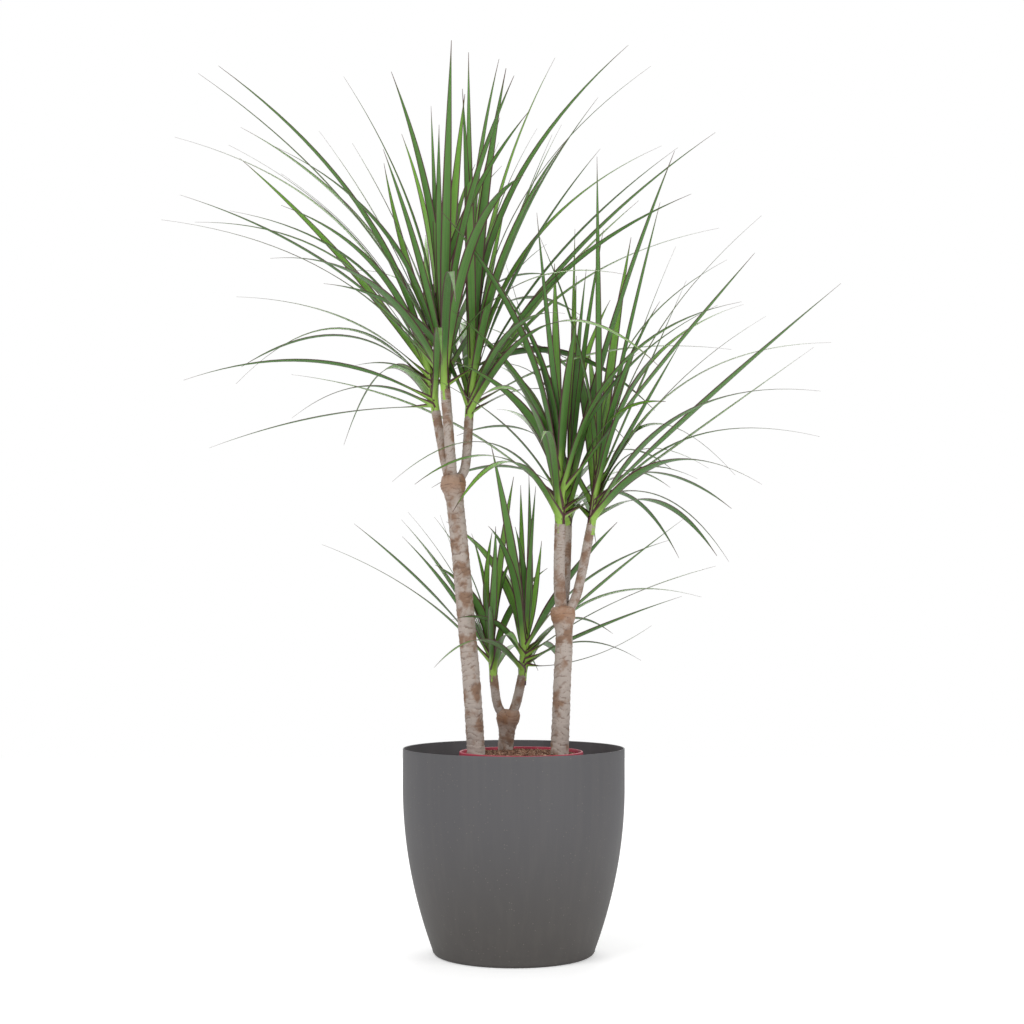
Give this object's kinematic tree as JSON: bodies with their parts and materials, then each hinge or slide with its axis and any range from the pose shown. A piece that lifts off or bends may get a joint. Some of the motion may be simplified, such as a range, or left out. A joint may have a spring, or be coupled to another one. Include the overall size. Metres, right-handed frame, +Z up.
{
  "type": "potted dracaena",
  "caption": "Potted dracaena: three woody canes of different heights with narrow arching leaves, in a round tapered cover pot.",
  "frame": {"origin": "centre of the cover pot's flat underside", "axes": "+Z up along the pot's axis, +X to the right seen from the front, +Y to the back"},
  "size_m": [0.9302, 0.8593, 1.2601],
  "materials": {
    "pot_plastic": "satin",
    "grow_pot_plastic": "satin",
    "potting_mix": "rough",
    "bark": "rough",
    "leaf": "satin"
  },
  "bodies": {
    "root": {"cover_pot": "pot_plastic", "grow_pot": "grow_pot_plastic", "potting_mix": "potting_mix", "cane_tall": "bark", "cane_middle": "bark", "cane_short": "bark", "leaves_tall_left_lower": "leaf", "leaves_tall_left_middle": "leaf", "leaves_tall_left_upper": "leaf", "leaves_tall_middle_lower": "leaf", "leaves_tall_middle_middle": "leaf", "leaves_tall_middle_upper": "leaf", "leaves_tall_right_lower": "leaf", "leaves_tall_right_middle": "leaf", "leaves_tall_right_upper": "leaf", "leaves_middle_left_lower": "leaf", "leaves_middle_left_middle": "leaf", "leaves_middle_left_upper": "leaf", "leaves_middle_back_lower": "leaf", "leaves_middle_back_middle": "leaf", "leaves_middle_back_upper": "leaf", "leaves_middle_right_lower": "leaf", "leaves_middle_right_middle": "leaf", "leaves_middle_right_upper": "leaf", "leaves_short_left_lower": "leaf", "leaves_short_left_middle": "leaf", "leaves_short_left_upper": "leaf", "leaves_short_right_lower": "leaf", "leaves_short_right_middle": "leaf", "leaves_short_right_upper": "leaf"}
  },
  "joints": []
}
